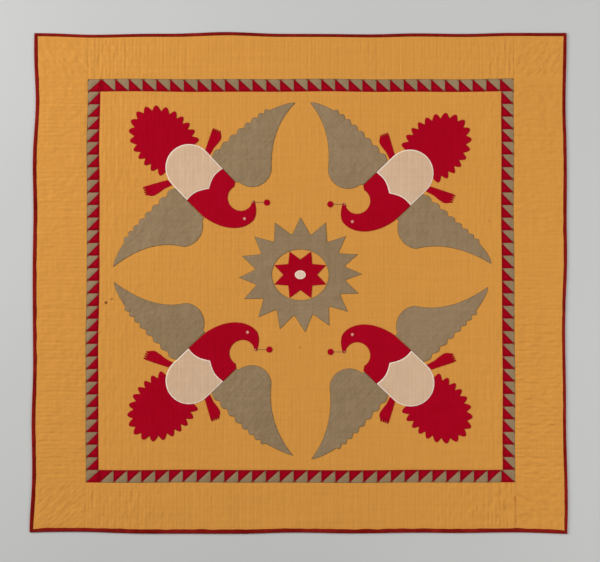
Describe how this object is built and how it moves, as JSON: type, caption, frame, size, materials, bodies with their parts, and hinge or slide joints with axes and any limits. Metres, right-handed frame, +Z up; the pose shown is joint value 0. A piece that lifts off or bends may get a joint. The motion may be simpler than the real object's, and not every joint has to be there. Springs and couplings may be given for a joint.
{
  "type": "applique quilt",
  "caption": "Square hand-quilted cotton quilt laid flat, with applique birds round a pointed sun, a pieced sawtooth frame, plain quilted borders and a narrow folded binding.",
  "frame": {"origin": "on the surface the quilt lies on, below the middle of its outer edges", "axes": "+Z up through the quilt to its face, +Y towards the top edge of the design, +X along its width, the longest extent"},
  "size_m": [2.0436, 1.9052, 0.0074],
  "materials": {
    "cheddar_cotton": "matte woven cotton",
    "red_cotton": "matte woven cotton",
    "binding_cotton": "matte woven cotton",
    "olive_cotton": "matte woven cotton",
    "cream_cotton": "matte woven cotton"
  },
  "bodies": {
    "root": {"centre_field": "cheddar_cotton", "border_left": "cheddar_cotton", "border_right": "cheddar_cotton", "border_bottom": "cheddar_cotton", "border_top": "cheddar_cotton", "sawtooth_left": "red_cotton", "sawtooth_right": "red_cotton", "sawtooth_bottom": "red_cotton", "sawtooth_top": "red_cotton", "binding_left": "binding_cotton", "binding_right": "binding_cotton", "binding_bottom": "binding_cotton", "binding_top": "binding_cotton", "sun_ring": "olive_cotton", "star": "red_cotton", "star_centre": "cream_cotton", "tail_top_left": "red_cotton", "body_top_left": "cream_cotton", "head_top_left": "red_cotton", "wing_fore_top_left": "olive_cotton", "wing_aft_top_left": "olive_cotton", "leg_fore_top_left": "red_cotton", "leg_aft_top_left": "red_cotton", "berry_top_left": "red_cotton", "eye_top_left": "cream_cotton", "tail_top_right": "red_cotton", "body_top_right": "cream_cotton", "head_top_right": "red_cotton", "wing_fore_top_right": "olive_cotton", "wing_aft_top_right": "olive_cotton", "leg_fore_top_right": "red_cotton", "leg_aft_top_right": "red_cotton", "berry_top_right": "red_cotton", "eye_top_right": "cream_cotton", "tail_bottom_left": "red_cotton", "body_bottom_left": "cream_cotton", "head_bottom_left": "red_cotton", "wing_fore_bottom_left": "olive_cotton", "wing_aft_bottom_left": "olive_cotton", "leg_fore_bottom_left": "red_cotton", "leg_aft_bottom_left": "red_cotton", "berry_bottom_left": "red_cotton", "eye_bottom_left": "cream_cotton", "tail_bottom_right": "red_cotton", "body_bottom_right": "cream_cotton", "head_bottom_right": "red_cotton", "wing_fore_bottom_right": "olive_cotton", "wing_aft_bottom_right": "olive_cotton", "leg_fore_bottom_right": "red_cotton", "leg_aft_bottom_right": "red_cotton", "berry_bottom_right": "red_cotton", "eye_bottom_right": "cream_cotton"}
  },
  "joints": []
}
